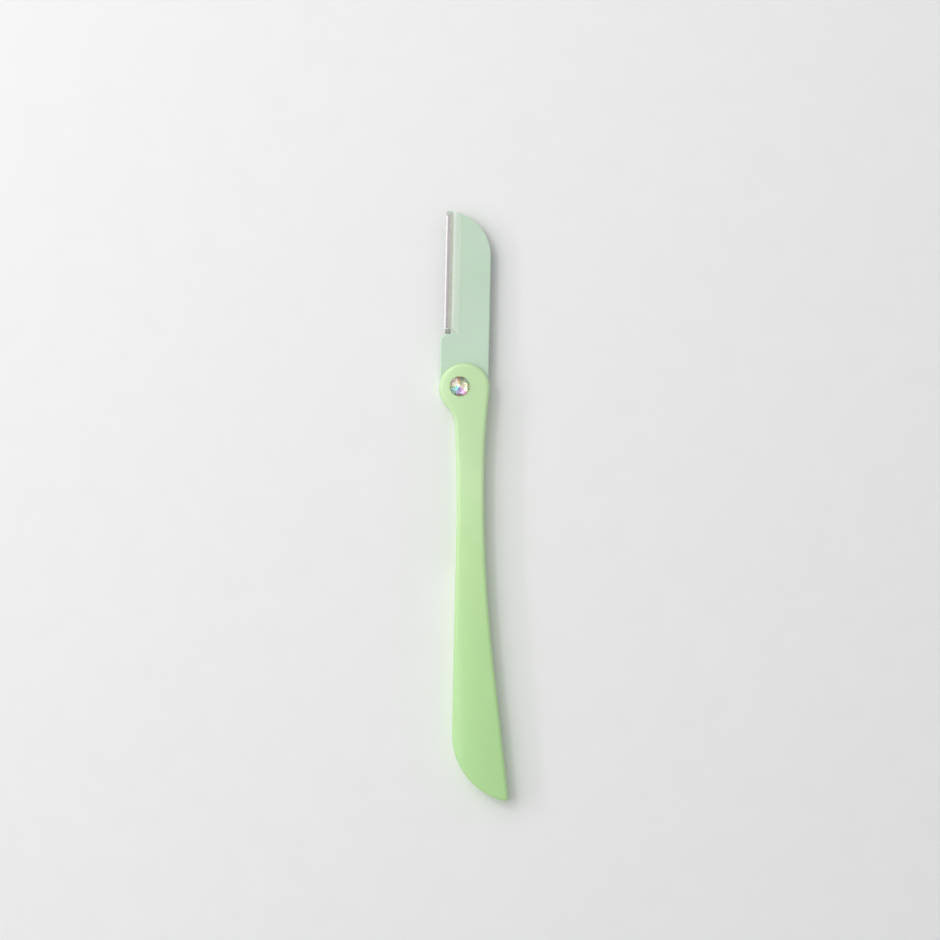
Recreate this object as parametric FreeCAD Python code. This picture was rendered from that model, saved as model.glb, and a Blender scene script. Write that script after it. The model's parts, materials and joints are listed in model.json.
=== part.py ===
"""Folding eyebrow razor: a two-part moulded handle whose slot takes a blade holder that turns on a pin.

Millimetres. The razor lies on its back with the blade open: +Y runs from the pivot towards the blade's
tip, +X is away from the cutting edge and +Z comes out of the face that carries the stone. The origin is
on the pivot's axis, in the flat back.
"""
import FreeCAD, Part
import math
import os

V = FreeCAD.Vector

# Thickness: the handle's two face walls and the slot between them
handle_thickness = 6.0
face_wall = 1.6
side_gap = 0.3

# Blade and the foil guard on its edge
blade_foot = 13.6
blade_length = 31.45
blade_thickness = 0.25
cutting_edge = 4.27
blade_show = 1.67
blade_grip = 3.8
blade_corner = 1.7
grind_width = 0.7
edge_land = 0.04
heel_length = 1.26
heel_step = 0.21
end_rake_degrees = 21.0
guard_foil = 0.1
guard_edge_gap = 0.05
guard_leg = 1.02
guard_roof = 0.38
guard_nose = 0.2
guard_window = 0.27
guard_pitch = 0.85
guard_bar = 0.55
guard_fit = 0.01

# Blade holder
holder_left = 5.3
holder_right = 7.45
top_lip = 0.55
lip_left = 4.4
lip_round = 0.5
shoulder_round = 1.6
heel_round = 0.4
holder_edge_round = 0.35
bevel_width = 2.3
bevel_lip = 0.12
bevel_end = 2.4
stud_radius = 0.8
stud_fit = 0.05
stud_reach = 0.45
pocket_fit = 0.02
pocket_end_gap = 0.1
thrust_ring_radius = 3.6
thrust_gap = 0.05
heel_drop_share = 0.8
stud_place_shares = (0.2, 0.8)

# Handle outline
handle_reach = 107.8
head_radius = 6.6
head_drop = 0.5
spine_wall = 1.15
fold_gap = 0.35
waist_inset = 1.0
waist_drop = 20.0
grip_width = 6.9
grip_top = 38.0
neck_sweep = 390.0
neck_fillet = 6.5
back_sweep = 385.0
tail_lean_degrees = 7.5
tail_radius = 17.8
tip_round = 0.95

# Handle mouldings
front_edge_round = 0.9
back_edge_round = 0.75
seam_chamfer = 0.1
side_wall = 1.5
cavity_round = 0.8
slot_end_gap = 1.4
stop_gap = 0.05
dowel_radius = 0.9
dowel_wall = 0.9
dowel_reach = 0.9
dowel_fit = 0.05
rib_thickness = 0.8
rib_gap = 0.2
dowel_place_shares = (0.18, 0.72)
rib_place_shares = (0.36, 0.54)

# Pivot pin and stone
pin_radius = 1.3
pin_fit = 0.02
running_gap = 0.05
pin_head_radius = 2.1
pin_head_height = 0.5
pin_floor = 0.6
stone_radius = 2.55
stone_seat_depth = 0.4
stone_fit = 0.03
stone_girdle = 0.45
stone_crown = 1.35
stone_table_share = 0.46
stone_break_share = 0.8
stone_sides = 8

# Worked out from the sizes above
parting = handle_thickness / 2
holder_low = face_wall + side_gap
blade_top = blade_foot + blade_length
holder_reach = blade_top + top_lip
holder_edge = cutting_edge - blade_show
heel_drop = holder_left * heel_drop_share
stop_drop = heel_drop + stop_gap
slot_end = holder_reach + slot_end_gap
waist_x = holder_left + fold_gap + spine_wall
grip_left = waist_x - grip_width
head = V(waist_x + waist_inset - head_radius, -head_drop, 0)
tail = V(grip_left + tail_radius, tail_radius - handle_reach, 0)
tail_lean = math.radians(tail_lean_degrees)
end_rake = math.tan(math.radians(end_rake_degrees))
lip_foot = blade_top - (lip_left - holder_edge) * end_rake
tail_run = handle_reach - slot_end
far = handle_reach


def circles_meet(first, first_radius, second, second_radius, side):
    """Point where two circles in the XY plane cross, left (side 1) or right (-1) of the line of centres."""
    centers = second - first
    span = centers.Length
    along = (span**2 + first_radius**2 - second_radius**2) / (2 * span)
    off = math.sqrt(first_radius**2 - along**2)
    ahead = centers / span
    return first + ahead * along + V(-ahead.y, ahead.x, 0) * off * side


def arc(center, start, end):
    """Arc of less than half a turn about center."""
    radius = (start - center).Length
    middle = center + (start + end - center * 2).normalize() * radius
    return Part.Arc(start, middle, end).toShape()


def line(start, end):
    return Part.LineSegment(start, end).toShape()


def polygon(points):
    """Edges of a closed outline with straight sides."""
    return [line(start, end) for start, end in zip(points, points[1:] + points[:1])]


def prism(edges, low, high):
    """Solid between two heights, over a closed outline of edges."""
    face = Part.Face(Part.Wire(edges))
    face.translate(V(0, 0, low))
    return face.extrude(V(0, 0, high - low))


def block(low, high):
    """Box between two corners."""
    size = high - low
    return Part.makeBox(size.x, size.y, size.z, low)


def cylinder(radius, low, high, center=V(0, 0, 0)):
    return Part.makeCylinder(radius, high - low, V(center.x, center.y, low))


def handle_outline(inset, corner):
    """Edges of the handle's outline, moved inwards by inset, with its tip rounded to corner.

    Round head, concave neck, a straight left edge, one large arc round the tail to the tip, a straight
    run that leans out, and two sweeping arcs that meet at the waist.
    """
    # Left side, from the head down
    sweep_center = V(grip_left - neck_sweep, -grip_top, 0)
    fillet_center = circles_meet(head, head_radius + neck_fillet, sweep_center, neck_sweep - neck_fillet, 1)
    head_top = head + V(0, head_radius - inset, 0)
    head_left = head + (fillet_center - head).normalize() * (head_radius - inset)
    neck = sweep_center + (fillet_center - sweep_center).normalize() * (neck_sweep + inset)
    grip_start = V(grip_left + inset, -grip_top, 0)
    tail_start = V(grip_left + inset, tail.y, 0)

    # Right side, from the head down
    rise = waist_drop - head_drop
    reach = head_radius - waist_inset
    upper_sweep = (reach**2 + rise**2 - head_radius**2) / (2 * waist_inset)
    upper_center = V(waist_x + upper_sweep, -waist_drop, 0)
    back_center = V(waist_x + back_sweep, -waist_drop, 0)
    head_right = head + (upper_center - head).normalize() * (head_radius - inset)
    waist = V(waist_x - inset, -waist_drop, 0)
    inwards = V(-math.cos(tail_lean), -math.sin(tail_lean), 0)
    down = V(math.sin(tail_lean), -math.cos(tail_lean), 0)
    lean_start = back_center + inwards * (back_sweep + inset)

    # Tip: a small round between the leaning run and the tail arc
    start = lean_start + inwards * corner
    to_tail = tail - start
    along = to_tail.dot(down)
    off = to_tail.dot(inwards)
    tip = start + down * (along + math.sqrt((tail_radius - inset - corner)**2 - off**2))
    tip_right = tip - inwards * corner
    tip_left = tail + (tip - tail).normalize() * (tail_radius - inset)

    return [
        arc(head, head_top, head_left),
        arc(fillet_center, head_left, neck),
        arc(sweep_center, neck, grip_start),
        line(grip_start, tail_start),
        arc(tail, tail_start, tip_left),
        arc(tip, tip_left, tip_right),
        line(tip_right, lean_start),
        arc(back_center, lean_start, waist),
        arc(upper_center, waist, head_right),
        arc(head, head_right, head_top),
    ]


def tail_middle(share):
    """Point midway between the tail's edges, at a share of the run from the slot's end to the tail's end."""
    y = -slot_end - tail_run * share
    left = tail.x - math.sqrt(tail_radius**2 - min(y - tail.y, 0)**2)
    turn = min(math.asin((-y - waist_drop) / back_sweep), tail_lean)
    bend = V(waist_x + back_sweep * (1 - math.cos(turn)), -waist_drop - back_sweep * math.sin(turn), 0)
    right = bend.x + (bend.y - y) * math.tan(turn)
    return V((left + right) / 2, y, 0)


def lowest_face(solid):
    return min(solid.Faces, key=lambda face: face.CenterOfMass.z)


def highest_face(solid):
    return max(solid.Faces, key=lambda face: face.CenterOfMass.z)


def rounded_half(edge_round):
    """Blank of one handle half, back down, with its outer edge rounded and its seam edge broken."""
    blank = prism(handle_outline(0, tip_round), 0, parting)
    rounded = blank.makeFillet(edge_round, lowest_face(blank).Edges)
    return rounded.makeChamfer(seam_chamfer, highest_face(rounded).Edges)


def slot_tool():
    """Space that the holder needs in one half: open on the left and round the head, closed by the spine."""
    low = face_wall
    middle = (grip_left + waist_x) / 2
    inner = prism(handle_outline(spine_wall, tip_round), low, parting)
    inner = inner.common(block(V(-far, -slot_end, low), V(far, -stop_drop, parting)))
    mouth = block(V(-far, -slot_end, low), V(middle, far, parting))
    round_head = block(V(-far, -stop_drop, low), V(far, far, parting))
    return inner.fuse([mouth, round_head])


def tail_cavity():
    """Hollow of the tail in one half."""
    hollow = prism(handle_outline(side_wall, cavity_round), face_wall, parting)
    return hollow.common(block(V(-far, -far - far, 0), V(far, -slot_end - side_wall, parting)))


def handle_half(edge_round):
    """One handle half, back down: face wall, spine, tail walls, dowel bosses and cross ribs."""
    cavity = tail_cavity()
    half = rounded_half(edge_round).cut(slot_tool()).cut(cavity)
    inside = []
    for share in dowel_place_shares:
        inside.append(cylinder(dowel_radius + dowel_wall, 0, parting, tail_middle(share)))
    for share in rib_place_shares:
        y = tail_middle(share).y
        rib_top = parting - rib_gap
        inside.append(block(V(-far, y - rib_thickness / 2, 0), V(far, y + rib_thickness / 2, rib_top)))
    inside = [piece.common(cavity) for piece in inside]
    return half.fuse(inside).removeSplitter()


def handle_rear():
    """Rear half: dowels stand up out of its bosses, and a blind hole takes the end of the pin."""
    half = handle_half(back_edge_round)
    for share in dowel_place_shares:
        half = half.fuse(cylinder(dowel_radius, face_wall, parting + dowel_reach, tail_middle(share)))
    half = half.cut(cylinder(pin_radius + pin_fit, pin_floor, parting))
    return half.removeSplitter()


def handle_front():
    """Front half: sockets for the dowels, the pin's bore and counterbore, and the seat of the stone."""
    half = handle_half(front_edge_round).mirror(V(0, 0, parting), V(0, 0, 1))
    for share in dowel_place_shares:
        socket_top = parting + dowel_reach + dowel_fit
        half = half.cut(cylinder(dowel_radius + dowel_fit, parting, socket_top, tail_middle(share)))
    seat = handle_thickness - stone_seat_depth
    half = half.cut(cylinder(pin_radius + pin_fit, parting, handle_thickness))
    half = half.cut(cylinder(pin_head_radius + pin_fit, seat - pin_head_height, handle_thickness))
    half = half.cut(cylinder(stone_radius + stone_fit, seat, handle_thickness))
    return half


def holder_outline():
    """Edges of the holder's outline: round root, shoulder below the blade, quarter-round nose, heel."""
    root = V(0, 0, 0)
    nose_radius = holder_right + lip_left
    nose = V(-lip_left, holder_reach - nose_radius, 0)
    lip = nose + V(lip_round, math.sqrt(nose_radius**2 - 2 * nose_radius * lip_round), 0)
    heel_inner = V(math.sqrt(holder_left**2 - heel_drop**2), -heel_drop, 0)
    root_left = V(-holder_left, 0, 0)
    root_low = V(0, -holder_left, 0)
    shoulder = V(shoulder_round - holder_left, blade_foot - shoulder_round, 0)
    shoulder_left = shoulder + V(-shoulder_round, 0, 0)
    shoulder_top = shoulder + V(0, shoulder_round, 0)
    foot = V(-holder_edge, blade_foot, 0)
    lip_inner = V(-holder_edge, blade_top, 0)
    lip_low = V(-lip_left, lip_foot, 0)
    lip_high = lip + V(-lip_round, 0, 0)
    nose_start = nose + (lip - nose).normalize() * nose_radius
    nose_end = V(holder_right, nose.y, 0)
    heel = V(holder_right - heel_round, heel_round - heel_drop, 0)
    heel_right = heel + V(heel_round, 0, 0)
    heel_low = heel + V(0, -heel_round, 0)
    return [
        line(root_left, shoulder_left),
        arc(shoulder, shoulder_left, shoulder_top),
        line(shoulder_top, foot),
        line(foot, lip_inner),
        line(lip_inner, lip_low),
        line(lip_low, lip_high),
        arc(lip, lip_high, nose_start),
        arc(nose, nose_start, nose_end),
        line(nose_end, heel_right),
        arc(heel, heel_right, heel_low),
        line(heel_low, heel_inner),
        arc(root, heel_inner, root_low),
        arc(root, root_low, root_left),
    ]


def stud_place(share):
    """Centre of a stud, in the middle of the clamped strip of the blade."""
    return V(blade_grip / 2 - holder_edge, blade_foot + blade_length * share, 0)


def bevel_tool():
    """Hollow that rounds the holder's face down to the blade and leaves the lip thin.

    Its lower end slopes up to the face, and its upper end runs out through the nose.
    """
    thin_z = parting - blade_thickness / 2 - bevel_lip
    drop = thin_z - holder_low
    high = V(bevel_width - holder_edge, blade_foot, holder_low)
    thin = V(-holder_edge, blade_foot, thin_z)
    outer = V(-far, blade_foot, thin_z)
    corner = V(-far, blade_foot, holder_low)
    center = high + V(0, 0, (bevel_width**2 + drop**2) / (2 * drop))
    profile = [arc(center, high, thin), line(thin, outer), line(outer, corner), line(corner, high)]
    tool = Part.Face(Part.Wire(profile)).extrude(V(0, far, 0))
    run_out = Part.makePolygon([corner, outer, outer + V(0, bevel_end, 0), corner])
    return tool.cut(Part.Face(run_out).extrude(V(far + bevel_width, 0, 0)))


def holder_half():
    """One holder half, back down: bevel to the blade, blade pocket and thrust ring.

    Its outer edge is rounded outside the ears, and plain on the root between them.
    """
    half = prism(holder_outline(), holder_low, parting)
    root_space = block(V(-far, -far, 0), V(far, 0, parting))
    root = half.common(root_space)
    arm = half.cut(root_space)
    rounded = []
    for edge in lowest_face(arm).Edges:
        middle = edge.valueAt((edge.FirstParameter + edge.LastParameter) / 2)
        on_nose_or_side = middle.x > 0 and middle.y > 0
        on_shoulder = middle.x < 0 and 0 < middle.y < blade_foot + heel_length
        if on_nose_or_side or on_shoulder:
            rounded.append(edge)
    half = arm.makeFillet(holder_edge_round, rounded).fuse(root)
    pocket_low = parting - blade_thickness / 2 - pocket_fit
    pocket_right = blade_grip - holder_edge + pocket_end_gap
    pocket = polygon([
        V(-holder_edge, blade_foot, 0),
        V(pocket_right, blade_foot, 0),
        V(pocket_right, blade_top - blade_corner, 0),
        V(-holder_edge, blade_top, 0),
    ])
    half = half.cut(bevel_tool()).cut(prism(pocket, pocket_low, parting))
    ring = cylinder(thrust_ring_radius, face_wall + thrust_gap, parting)
    half = half.fuse(ring)
    return half.cut(cylinder(pin_radius + running_gap, 0, parting)).removeSplitter()


def holder_back():
    """Rear half of the holder, with the studs that pass through the blade."""
    half = holder_half()
    stud_root = (holder_low + parting) / 2
    for share in stud_place_shares:
        half = half.fuse(cylinder(stud_radius, stud_root, parting + stud_reach, stud_place(share)))
    return half.removeSplitter()


def holder_front():
    """Front half of the holder, with the sockets of the studs."""
    half = holder_half().mirror(V(0, 0, parting), V(0, 0, 1))
    for share in stud_place_shares:
        socket_top = parting + stud_reach + stud_fit
        half = half.cut(cylinder(stud_radius + stud_fit, parting, socket_top, stud_place(share)))
    return half


def blade():
    """Steel strip with a cut-off top, ground from both faces, and a short unground heel set back below."""
    low = parting - blade_thickness / 2
    high = parting + blade_thickness / 2
    back = blade_grip - holder_edge
    foot = blade_foot + pocket_fit
    top = blade_top - pocket_fit
    heel_top = blade_foot + heel_length
    outline = polygon([
        V(heel_step - cutting_edge, foot, 0),
        V(back, foot, 0),
        V(back, top - blade_corner, 0),
        V(-holder_edge, top, 0),
        V(-cutting_edge, top - blade_show * end_rake, 0),
        V(-cutting_edge, heel_top, 0),
        V(heel_step - cutting_edge, heel_top, 0),
    ])
    strip = prism(outline, low, high)
    for face, land in ((low, -edge_land / 2), (high, edge_land / 2)):
        edge = V(-cutting_edge, heel_top, parting + land)
        shoulder = V(grind_width - cutting_edge, heel_top, face)
        corner = V(-cutting_edge, heel_top, face)
        wedge = Part.Face(Part.makePolygon([edge, shoulder, corner, edge]))
        strip = strip.cut(wedge.extrude(V(0, blade_length, 0)))
    for share in stud_place_shares:
        strip = strip.cut(cylinder(stud_radius + stud_fit, low, high, stud_place(share)))
    return strip


def guard_net():
    """Foil folded like a roof over the cutting edge, with a row of slits across the fold for the hairs."""
    outer = blade_thickness / 2 + guard_fit + guard_foil
    nose = -cutting_edge - guard_edge_gap - guard_foil
    slope = math.atan2(outer - guard_nose / 2, guard_roof)
    foot = blade_foot + heel_length
    top = blade_top - 2 * pocket_fit + (nose + holder_edge) * end_rake
    run = V(0, top - foot, 0)

    def fold(skin):
        """Raked cross-section of the fold, moved in by skin from the outside of the foil."""
        leg_rise = outer - skin
        nose_rise = guard_nose / 2 + skin * (math.tan(slope) - 1 / math.cos(slope))
        roof = nose + skin + (leg_rise - nose_rise) / math.tan(slope)
        upper = [(nose + guard_leg, leg_rise), (roof, leg_rise), (nose + skin, nose_rise)]
        lower = [(x, -rise) for x, rise in reversed(upper)]
        points = [V(x, foot + (x - nose) * end_rake, parting + rise) for x, rise in upper + lower]
        return Part.Face(Part.makePolygon(points + points[:1]))

    foil = fold(0).extrude(run).cut(fold(guard_foil).extrude(run))
    windows = []
    count = int((run.y - guard_bar) / guard_pitch)
    margin = (run.y - count * guard_pitch + guard_bar) / 2
    for number in range(count):
        y = foot + margin + number * guard_pitch
        low = V(nose - guard_foil, y, parting - 2 * outer)
        windows.append(block(low, V(nose + guard_window, y + guard_pitch - guard_bar, parting + 2 * outer)))
    return foil.cut(windows)


def pivot_pin():
    """Headed pin, put in from the front: its end is pressed into the rear ear's blind hole."""
    head_high = handle_thickness - stone_seat_depth
    head_low = head_high - pin_head_height
    shank = cylinder(pin_radius, pin_floor + pin_fit, head_low)
    return shank.fuse(cylinder(pin_head_radius, head_low, head_high)).removeSplitter()


def pivot_stone():
    """Flat-backed round stone: table, star facets, flat kites and pairs of break facets to the girdle."""
    low = handle_thickness - stone_seat_depth
    girdle_high = low + stone_girdle
    table_high = girdle_high + stone_crown
    step = math.pi / stone_sides
    break_rise_share = (1 - stone_break_share * math.cos(step)) / (1 - stone_table_share)
    break_high = girdle_high + stone_crown * break_rise_share

    def ring(radius, height, turns):
        return [V(radius * math.cos(turn * step), radius * math.sin(turn * step), height) for turn in turns]

    even = range(0, 2 * stone_sides, 2)
    odd = range(1, 2 * stone_sides, 2)
    table = ring(stone_radius * stone_table_share, table_high, even)
    kites = ring(stone_radius * stone_break_share, break_high, odd)
    girdle = ring(stone_radius, girdle_high, range(2 * stone_sides))
    base = ring(stone_radius, low, range(2 * stone_sides))
    loops = [table, base]
    for side in range(stone_sides):
        after = (side + 1) % stone_sides
        first = girdle[2 * side]
        middle = girdle[2 * side + 1]
        last = girdle[2 * after]
        loops.append([table[side], kites[side], table[after]])
        loops.append([table[after], kites[side], last, kites[after]])
        loops.append([kites[side], first, middle])
        loops.append([kites[side], middle, last])
    for side in range(2 * stone_sides):
        after = (side + 1) % (2 * stone_sides)
        loops.append([base[side], base[after], girdle[after], girdle[side]])
    faces = [Part.Face(Part.makePolygon(loop + loop[:1])) for loop in loops]
    shell = Part.makeShell(faces)
    shell.sewShape()
    return Part.makeSolid(shell)


def export(pieces):
    os.makedirs("parts", exist_ok=True)
    for make in pieces:
        solid = make()
        print(make.__name__, solid.ShapeType, len(solid.Solids), solid.isValid(), round(solid.Volume, 2))
        solid.exportStep("parts/" + make.__name__ + ".step")


export([
    handle_rear,
    handle_front,
    holder_back,
    holder_front,
    blade,
    guard_net,
    pivot_pin,
    pivot_stone,
])
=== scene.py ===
"""Looks of the folding eyebrow razor: satin green handle, milky blade holder, steel strip and cut stone."""
import json
import math

import bmesh
import bpy
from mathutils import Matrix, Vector

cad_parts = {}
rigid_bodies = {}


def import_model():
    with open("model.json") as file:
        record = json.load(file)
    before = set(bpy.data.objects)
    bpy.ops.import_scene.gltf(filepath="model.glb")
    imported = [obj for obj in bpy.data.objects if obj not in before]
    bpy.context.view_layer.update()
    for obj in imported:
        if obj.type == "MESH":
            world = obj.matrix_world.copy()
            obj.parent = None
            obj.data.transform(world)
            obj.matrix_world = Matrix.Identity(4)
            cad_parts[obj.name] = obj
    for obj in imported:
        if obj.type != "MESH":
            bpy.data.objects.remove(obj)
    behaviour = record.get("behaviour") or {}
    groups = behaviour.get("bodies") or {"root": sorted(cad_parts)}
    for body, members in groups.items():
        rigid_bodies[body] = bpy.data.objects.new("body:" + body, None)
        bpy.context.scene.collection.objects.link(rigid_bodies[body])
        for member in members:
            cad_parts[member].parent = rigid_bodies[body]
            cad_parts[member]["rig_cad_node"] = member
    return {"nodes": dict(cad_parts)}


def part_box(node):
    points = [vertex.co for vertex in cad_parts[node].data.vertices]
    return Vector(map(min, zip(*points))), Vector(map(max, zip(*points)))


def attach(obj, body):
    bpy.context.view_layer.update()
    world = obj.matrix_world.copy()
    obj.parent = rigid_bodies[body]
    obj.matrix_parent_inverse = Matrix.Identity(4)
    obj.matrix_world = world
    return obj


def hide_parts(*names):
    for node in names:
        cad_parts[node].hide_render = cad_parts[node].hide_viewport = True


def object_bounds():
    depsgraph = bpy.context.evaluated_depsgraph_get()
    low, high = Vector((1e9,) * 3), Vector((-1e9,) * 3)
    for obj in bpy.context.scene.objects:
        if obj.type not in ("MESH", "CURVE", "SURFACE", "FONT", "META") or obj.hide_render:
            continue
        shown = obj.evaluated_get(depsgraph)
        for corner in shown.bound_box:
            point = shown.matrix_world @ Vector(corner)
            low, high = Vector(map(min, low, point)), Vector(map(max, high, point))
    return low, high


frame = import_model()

cad_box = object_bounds()
MM = 0.001

# Rear half of the handle: one of two injection-moulded polypropylene shells in a pale green, with a satin
# skin from a spark-eroded mould. Its green is painted paler towards the head and deeper towards the tail as
# painted light falling off along the grip, with a painted highlight across the neck. It carries the spine
# wall, the dowels and the flat back, and the front half is welded to it along the seam.


def paint(red, green, blue):
    """Colour of a paint chart, 0 to 255, as the linear colour that a shader takes."""
    chart = [value / 255 for value in (red, green, blue)]
    linear = [v / 12.92 if v <= 0.04045 else ((v + 0.055) / 1.055) ** 2.4 for v in chart]
    return (*linear, 1.0)


class Finish:
    """A material with its shader, read on the piece's own coordinates."""

    def __init__(self, name):
        self.material = bpy.data.materials.new(name)
        self.material.use_nodes = True
        self.tree = self.material.node_tree
        self.shader = self.tree.nodes["Principled BSDF"]
        self.place = self.add("ShaderNodeTexCoord").outputs["Object"]

    def add(self, kind, **settings):
        node = self.tree.nodes.new(kind)
        for setting, value in settings.items():
            setattr(node, setting, value)
        return node

    def link(self, output, target):
        self.tree.links.new(output, target)

    def drive(self, socket, output):
        """Lets a pattern drive a socket of the shader."""
        self.link(output, self.shader.inputs[socket])

    def constants(self, values):
        """Numbers and colours that are the same all over the surface."""
        for socket, value in values.items():
            self.shader.inputs[socket].default_value = value

    def axis(self, letter):
        """One coordinate of the piece's place."""
        parts = self.add("ShaderNodeSeparateXYZ")
        self.link(self.place, parts.inputs["Vector"])
        return parts.outputs[letter]

    def cloud(self, size, detail=2.0, stretch=(1, 1, 1)):
        """Cloudy noise whose blotches are about size metres across, drawn out by stretch."""
        mapping = self.add("ShaderNodeMapping")
        mapping.inputs["Scale"].default_value = [1 / (size * factor) for factor in stretch]
        self.link(self.place, mapping.inputs["Vector"])
        noise = self.add("ShaderNodeTexNoise")
        noise.inputs["Scale"].default_value = 1.0
        noise.inputs["Detail"].default_value = detail
        self.link(mapping.outputs["Vector"], noise.inputs["Vector"])
        return noise.outputs["Fac"]

    def spread(self, share, low, high, start=0.3, end=0.7):
        """Number that goes from low to high while share goes from start to end."""
        spread = self.add("ShaderNodeMapRange")
        for name, value in (("From Min", start), ("From Max", end), ("To Min", low), ("To Max", high)):
            spread.inputs[name].default_value = value
        self.link(share, spread.inputs["Value"])
        return spread.outputs["Result"]

    def ramp(self, share, stops, interpolation="LINEAR"):
        """Colour that goes through the stops, each a share and its colour, as share grows."""
        ramp = self.add("ShaderNodeValToRGB")
        ramp.color_ramp.interpolation = interpolation
        while len(ramp.color_ramp.elements) < len(stops):
            ramp.color_ramp.elements.new(1.0)
        for element, (place, colour) in zip(ramp.color_ramp.elements, stops):
            element.position = place
            element.color = colour
        self.link(share, ramp.inputs["Fac"])
        return ramp.outputs["Color"]

    def blend(self, share, low, high, start=0.3, end=0.7):
        """Colour that goes from low to high while share goes from start to end."""
        return self.ramp(share, ((start, low), (end, high)))

    def mix(self, share, first, second):
        """Second colour over the first one, by share."""
        mix = self.add("ShaderNodeMix", data_type="RGBA")
        under, over = [socket for socket in mix.inputs if socket.type == "RGBA"]
        self.link(share, mix.inputs["Factor"])
        self.link(first, under)
        self.link(second, over)
        return [socket for socket in mix.outputs if socket.type == "RGBA"][0]

    def bump(self, height, depth, below=None):
        """Relief of a pattern that is depth metres deep, over the relief below it."""
        bump = self.add("ShaderNodeBump")
        bump.inputs["Distance"].default_value = depth
        self.link(height, bump.inputs["Height"])
        if below is not None:
            self.link(below, bump.inputs["Normal"])
        return bump.outputs["Normal"]

    def wear(self, node):
        """Puts the finish on a CAD node."""
        frame["nodes"][node].data.materials[0] = self.material


def moulded_plastic(name, roughness, glow):
    """Satin moulded plastic with broken edges, sink, scuffs and grain, and the slow drift of its tone."""
    broken_edge = 0.1 * MM
    sink_depth = 0.012 * MM
    scuff_depth = 0.0005 * MM
    grain_depth = 0.0012 * MM
    finish = Finish(name)
    drift = finish.cloud(14 * MM)
    scuffs = finish.cloud(0.25 * MM, stretch=(1, 30, 1))
    grain = finish.cloud(0.07 * MM, detail=1.0)
    finish.drive("Roughness", finish.spread(scuffs, roughness - 0.04, roughness + 0.05))
    edges = finish.add("ShaderNodeBevel", samples=6)
    edges.inputs["Radius"].default_value = broken_edge
    relief = finish.bump(drift, sink_depth, edges.outputs["Normal"])
    relief = finish.bump(scuffs, scuff_depth, relief)
    finish.drive("Normal", finish.bump(grain, grain_depth, relief))
    finish.constants({"IOR": 1.49, "Subsurface Weight": glow, "Subsurface Scale": 1.2 * MM})
    finish.constants({"Coat Weight": 0.8, "Coat Roughness": 0.14})
    finish.constants({"Subsurface Radius": (0.8, 1.0, 0.6)})
    return finish, drift


handle_plastic, drift = moulded_plastic("satin green plastic", roughness=0.44, glow=0.12)
head_end = -10 * MM
tail_end = -95 * MM
drift_share = 0.4
tone = handle_plastic.add("ShaderNodeMath", operation="MULTIPLY_ADD")
tone.inputs[1].default_value = drift_share
handle_plastic.link(drift, tone.inputs[0])
painted_light_to_head = handle_plastic.spread(handle_plastic.axis("Y"), 0, 1, start=tail_end, end=head_end)
handle_plastic.link(painted_light_to_head, tone.inputs[2])
# Painted light: the green is painted paler towards the head as light falling off along the grip, and
# lighter across the neck as a painted highlight.
greens_with_painted_light = handle_plastic.ramp(
    handle_plastic.spread(tone.outputs["Value"], 0, 1, start=drift_share / 2, end=1 + drift_share / 2),
    ((0, paint(178, 222, 150)), (0.65, paint(190, 228, 161)), (0.85, paint(200, 233, 175)),
     (1, paint(195, 227, 172))))
handle_plastic.drive("Base Color", greens_with_painted_light)
handle_plastic.wear("handle_rear")


# Pivot pin: a turned steel pin with a flat head, put in from the front and pressed into the rear ear.
# The lathe leaves fine rings round its axis.
ring_pitch = 0.9 * MM
ring_depth = 0.002 * MM
turned_steel = Finish("turned steel")
rings = turned_steel.add("ShaderNodeTexWave", wave_type="RINGS", rings_direction="Z", wave_profile="SAW")
rings.inputs["Scale"].default_value = 1 / ring_pitch
rings.inputs["Distortion"].default_value = 0.4
turned_steel.link(turned_steel.place, rings.inputs["Vector"])
turned_steel.drive("Roughness", turned_steel.spread(rings.outputs["Fac"], 0.22, 0.38, start=0, end=1))
turned_steel.drive("Normal", turned_steel.bump(rings.outputs["Fac"], ring_depth))
turned_steel.constants({"Metallic": 1.0, "Base Color": (0.56, 0.55, 0.53, 1)})
turned_steel.wear("pivot_pin")


# Rear half of the blade holder: milky, slightly see-through plastic, paler and bluer than the handle. Over
# the bevelled lip along the steel it is painted greyer, darkest part way across, as painted shade that
# tones down the light the bevel catches. Its studs locate the blade before the front half is welded on.
blade_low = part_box("blade")[0]
lip_edge = -2.6 * MM
lip_root = 0.4 * MM
lip_foot = 0.6 * MM
holder_plastic, drift = moulded_plastic("milky green plastic", roughness=0.52, glow=0.35)
milky = holder_plastic.blend(drift, paint(191, 215, 192), paint(196, 219, 197))
over_lip = holder_plastic.spread(holder_plastic.axis("X"), 0, 1, start=lip_edge, end=lip_root)
# Painted shade: the bevel band along the strip is painted greyer, darkest part way across it.
painted_bevel_shade = holder_plastic.ramp(over_lip, (
    (0, paint(196, 210, 192)), (0.37, paint(181, 196, 180)), (0.7, paint(191, 212, 190)),
    (1, paint(194, 217, 195))))
beside_strip = holder_plastic.spread(
    holder_plastic.axis("Y"), 0, 1, start=blade_low.y, end=blade_low.y + lip_foot)
painted_shade_mask = holder_plastic.add("ShaderNodeMath", operation="MULTIPLY")
holder_plastic.link(beside_strip, painted_shade_mask.inputs[0])
holder_plastic.link(holder_plastic.spread(over_lip, 1, 0, start=0.8, end=1), painted_shade_mask.inputs[1])
holder_plastic.drive("Base Color", holder_plastic.mix(painted_shade_mask.outputs["Value"], milky, painted_bevel_shade))
holder_plastic.wear("holder_back")
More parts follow.
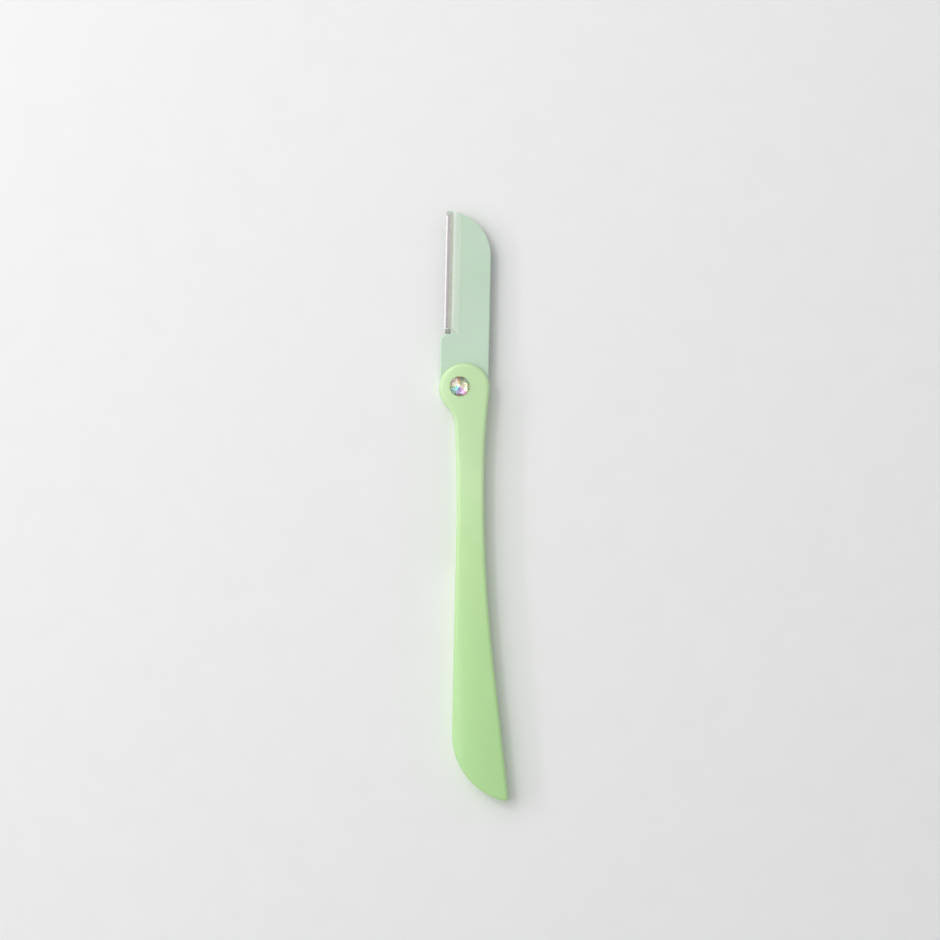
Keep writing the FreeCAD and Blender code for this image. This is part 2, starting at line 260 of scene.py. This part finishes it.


# Blade: a strip of rolled stainless steel, ground from both faces to the cutting edge. Rolling marks run
# along the strip, the grinding marks run across the two ground faces, and the heel is painted darker.
grind_width = 0.7 * MM
heel_length = 1.3 * MM
soft_line = 0.03 * MM
mark_depth = 0.0015 * MM
strip_steel = Finish("rolled strip steel")
rolling = strip_steel.cloud(0.05 * MM, stretch=(1, 80, 1))
grinding = strip_steel.cloud(0.04 * MM, stretch=(25, 1, 25))
ground_end = blade_low.x + grind_width
ground = strip_steel.spread(
    strip_steel.axis("X"), 1, 0, start=ground_end - soft_line, end=ground_end + soft_line)
marks = strip_steel.add("ShaderNodeMix")
for socket, output in (("Factor", ground), ("A", rolling), ("B", grinding)):
    strip_steel.link(output, marks.inputs[socket])
marks = marks.outputs["Result"]
heel_end = blade_low.y + heel_length
heel = strip_steel.spread(
    strip_steel.axis("Y"), 1, 0, start=heel_end - soft_line, end=heel_end + soft_line)
rolled = strip_steel.blend(marks, paint(162, 163, 153), paint(176, 177, 167))
# The heel is painted darker than the rest of the strip.
darker_heel = strip_steel.blend(marks, paint(132, 134, 129), paint(148, 150, 145))
strip_steel.drive("Base Color", strip_steel.mix(heel, rolled, darker_heel))
strip_steel.drive("Roughness", strip_steel.spread(marks, 0.24, 0.36))
strip_steel.drive("Normal", strip_steel.bump(marks, mark_depth))
strip_steel.constants({"Metallic": 1.0})
strip_steel.wear("blade")


# Guard net: bright stainless foil with a row of slits, folded like a roof over the cutting edge and
# pinched on to the strip. Fine drawing lines run along it.
drawing_depth = 0.0008 * MM
guard_foil = Finish("bright foil")
drawn = guard_foil.cloud(0.04 * MM, stretch=(1, 40, 1))
guard_foil.drive("Base Color", guard_foil.blend(drawn, paint(165, 160, 162), paint(180, 175, 177)))
guard_foil.drive("Roughness", guard_foil.spread(drawn, 0.18, 0.28))
guard_foil.drive("Normal", guard_foil.bump(drawn, drawing_depth))
guard_foil.constants({"Metallic": 1.0})
guard_foil.wear("guard_net")


# Front half of the blade holder: the same milky plastic as at the rear, hollowed down to a thin lip along
# the strip, and welded on over the blade.
holder_plastic.wear("holder_front")


# Front half of the handle: the same plastic as the rear half, welded on over the holder's root. Its face is
# crowned, so it is a copy of the flat CAD half that falls away from the middle line, more to the left than
# to the right, fully along the grip and less on the head.
bpy.ops.object.select_all(action="DESELECT")
flat_half = frame["nodes"]["handle_front"]
flat_half.select_set(True)
bpy.context.view_layer.objects.active = flat_half
bpy.ops.object.duplicate()
front_half = bpy.context.object
front_half.name = "handle_front_crowned"
del front_half["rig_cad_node"]
bpy.ops.mesh.customdata_custom_splitnormals_clear()

face_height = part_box("handle_front")[1].z
rounding_foot = face_height - 0.9 * MM
wall_inside = face_height - 1.6 * MM
left_radius = 21 * MM
right_radius = 42 * MM
lean_to_tail = math.radians(2.9)
middle_offset = 1.6 * MM
across = Vector((math.cos(lean_to_tail), math.sin(lean_to_tail), 0))
along = Vector((0, 1, 0))
head_share = 0.45
neck_top = -6 * MM
neck_foot = -22 * MM
columns = range(-7, 8)
neck_rows = range(6, 24, 2)
grip_rows = range(28, 105, 6)
cuts = [(across, middle_offset + column * MM) for column in columns]
cuts += [(along, -row * MM) for row in (*neck_rows, *grip_rows)]
same_corner = 0.0005 * MM
sliver = 0.002 * MM
sharpest_round = math.radians(32)

shell = bmesh.new()
shell.from_mesh(front_half.data)
bmesh.ops.remove_doubles(shell, verts=shell.verts, dist=same_corner)
for direction, reach in cuts:
    skin = [face for face in shell.faces if face.calc_center_median().z > rounding_foot]
    edges = {edge for face in skin for edge in face.edges}
    corners = {corner for face in skin for corner in face.verts}
    bmesh.ops.bisect_plane(
        shell, geom=[*skin, *edges, *corners], plane_co=direction * reach, plane_no=direction)
bmesh.ops.dissolve_degenerate(shell, dist=sliver, edges=shell.edges)
for corner in shell.verts:
    aside = across.dot(corner.co) - middle_offset
    grip = min(1, max(0, (neck_top - corner.co.y) / (neck_top - neck_foot)))
    crown_share = head_share + (1 - head_share) * grip ** 2 * (3 - 2 * grip)
    skin_share = min(1, max(0, (corner.co.z - wall_inside) / (rounding_foot - wall_inside)))
    fall = aside ** 2 / (2 * (left_radius if aside < 0 else right_radius))
    corner.co.z -= skin_share * crown_share * fall
bmesh.ops.triangulate(shell, faces=[face for face in shell.faces if len(face.verts) > 4])
shell.to_mesh(front_half.data)
shell.free()
bpy.ops.object.shade_smooth_by_angle(angle=sharpest_round)
even = front_half.modifiers.new("even shading", "WEIGHTED_NORMAL")
even.keep_sharp = True
bpy.ops.object.modifier_apply(modifier=even.name)
front_half.data.materials[0] = handle_plastic.material
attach(front_half, "handle")
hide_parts("handle_front")


# Stone: a round stone of clear cut glass, polished, with a rainbow coating of slightly uneven thickness.
# It is glued into the seat over the pin's head.
stone_low, stone_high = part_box("pivot_stone")
cut_glass = Finish("coated cut glass")
coating = cut_glass.cloud(1.5 * MM)
polish = cut_glass.cloud(0.2 * MM)
cut_glass.drive("Thin Film Thickness", cut_glass.spread(coating, 390, 450))
cut_glass.drive("Roughness", cut_glass.spread(polish, 0.01, 0.03))
cut_glass.constants({"Base Color": (0.97, 0.98, 1, 1), "Transmission Weight": 1.0})
cut_glass.constants({"IOR": 1.56, "Thin Film IOR": 1.9})
cut_glass.wear("pivot_stone")


# Silvering of the stone: the mirrored back is pressed into a low cone of facets. Its colour is painted in
# sectors round the stone as painted reflections of the coated stone: a painted highlight in cream at the
# upper left, painted shade in dark olive at the top and painted coloured reflections round the rest.
foil_sides = 16
foil_inset = 0.03 * MM
foil_lift = 0.04 * MM
foil_rise = 0.38 * MM
foil_thickness = 0.03 * MM
same_tip = 0.001 * MM
foil_radius = stone_high.x - foil_inset
foil_rim = stone_low.z + foil_lift
bpy.ops.object.select_all(action="DESELECT")
bpy.ops.mesh.primitive_cone_add(
    vertices=foil_sides, radius1=foil_radius, radius2=0, depth=foil_rise,
    end_fill_type="NOTHING", location=(0, 0, foil_rim + foil_rise / 2))
stone_foil = bpy.context.object
stone_foil.name = "stone_foil"
bpy.ops.object.transform_apply()
bpy.ops.object.mode_set(mode="EDIT")
bpy.ops.mesh.select_all(action="SELECT")
bpy.ops.mesh.remove_doubles(threshold=same_tip)
bpy.ops.mesh.normals_make_consistent(inside=False)
bpy.ops.object.mode_set(mode="OBJECT")
thick = stone_foil.modifiers.new("foil", "SOLIDIFY")
thick.thickness = foil_thickness
thick.offset = -1
bpy.ops.object.modifier_apply(modifier=thick.name)

silvering = Finish("painted_reflection silvering")
turn = silvering.add("ShaderNodeMath", operation="ARCTAN2")
silvering.link(silvering.axis("Y"), turn.inputs[0])
silvering.link(silvering.axis("X"), turn.inputs[1])
round_the_stone = silvering.spread(turn.outputs["Value"], 0, 1, start=-math.pi, end=math.pi)
# Painted reflections: each sector is painted in the tint the stone reflects there, with a painted highlight
# at the upper left and painted shade at the top.
painted_reflection_tints = (
    (-180, paint(140, 205, 140)), (-165, paint(150, 238, 238)), (-125, paint(160, 152, 196)),
    (-70, paint(234, 165, 228)), (-42, paint(232, 222, 190)), (10, paint(205, 200, 160)),
    (58, paint(128, 165, 100)), (86, paint(226, 184, 124)), (112, paint(250, 240, 214)))
painted_reflection_sectors = [((start + 180) / 360, tint) for start, tint in painted_reflection_tints]
silvering.drive("Base Color", silvering.ramp(round_the_stone, painted_reflection_sectors, "CONSTANT"))
silvering.drive("Roughness", silvering.spread(silvering.cloud(0.1 * MM), 0.09, 0.15))
silvering.constants({"Metallic": 1.0})
stone_foil.data.materials.append(silvering.material)
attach(stone_foil, "handle")


# Floor: a plain pale sheet, faintly clouded, that the razor lies on, on its back.
# It isn't part of the razor.
floor_size = 8.0
floor_gap = 0.02 * MM
bpy.ops.object.select_all(action="DESELECT")
bpy.ops.mesh.primitive_plane_add(size=floor_size, location=(0, 0, cad_box[0].z - floor_gap))
floor = bpy.context.object
floor.name = "floor"
sheet = Finish("pale sheet")
whites = sheet.blend(sheet.cloud(9 * MM), (0.87, 0.87, 0.862, 1), (0.882, 0.882, 0.876, 1))
sheet.drive("Base Color", whites)
sheet.constants({"Roughness": 0.8, "Specular IOR Level": 0.2})
floor.data.materials.append(sheet.material)


# Light: a large soft window at the upper left, a small bright lamp inside it, a low tube at the left that
# draws the glints along the edges, and a plain white room.
def soft_lamp(name, place, breadth, height, radiance):
    """Flat lamp of a given size and radiance, turned to the pivot."""
    lamp = bpy.data.lights.new(name, "AREA")
    lamp.shape = "RECTANGLE"
    lamp.size = breadth
    lamp.size_y = height
    lamp.energy = math.pi * breadth * height * radiance
    fixture = bpy.data.objects.new(name, lamp)
    fixture.location = place
    fixture.rotation_euler = (-Vector(place)).to_track_quat("-Z", "Y").to_euler()
    bpy.context.scene.collection.objects.link(fixture)


soft_lamp("window", place=(-0.49, 0.35, 0.715), breadth=1.05, height=1.05, radiance=1.68)
soft_lamp("spark", place=(-0.45, 0.375, 0.83), breadth=0.07, height=0.07, radiance=60.0)
soft_lamp("tube", place=(-0.795, -0.02, 0.42), breadth=0.7, height=0.06, radiance=6.5)

world = bpy.data.worlds.new("room")
bpy.context.scene.world = world
world.use_nodes = True
room = world.node_tree
rays = room.nodes.new("ShaderNodeLightPath")
seen = room.nodes.new("ShaderNodeMath")
seen_or_mirrored = room.nodes.new("ShaderNodeMath")
seen_or_mirrored.use_clamp = True
strength = room.nodes.new("ShaderNodeMapRange")
room_light = 0.45
room_seen = 0.97
strength.inputs["To Min"].default_value = room_light
strength.inputs["To Max"].default_value = room_seen
for output, target in (
        (rays.outputs["Is Camera Ray"], seen.inputs[0]),
        (rays.outputs["Is Transmission Ray"], seen.inputs[1]),
        (seen.outputs["Value"], seen_or_mirrored.inputs[0]),
        (rays.outputs["Is Glossy Ray"], seen_or_mirrored.inputs[1]),
        (seen_or_mirrored.outputs["Value"], strength.inputs["Value"]),
        (strength.outputs["Result"], room.nodes["Background"].inputs["Strength"])):
    room.links.new(output, target)
room.nodes["Background"].inputs["Color"].default_value = (0.98, 0.99, 1.0, 1)


# Camera: straight above, a long way off, turned a little so that the razor leans as it does when laid down.
view_width = 243.5 * MM
distance = 800 * MM
pivot_pixel = (459.7, 386.3)
picture = 940
lean = math.radians(1.2)
pixel = view_width / picture
right = Vector((math.cos(lean), math.sin(lean), 0))
up = Vector((-math.sin(lean), math.cos(lean), 0))
centre = right * (picture / 2 - pivot_pixel[0]) * pixel + up * (pivot_pixel[1] - picture / 2) * pixel
lens = bpy.data.cameras.new("camera")
lens.sensor_width = 36
lens.lens = lens.sensor_width * distance / view_width
camera = bpy.data.objects.new("camera", lens)
camera.location = centre + Vector((0, 0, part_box("handle_front")[1].z + distance))
camera.rotation_euler = (0, 0, lean)
bpy.context.scene.collection.objects.link(camera)
bpy.context.scene.camera = camera
bpy.context.scene.view_settings.view_transform = "Standard"
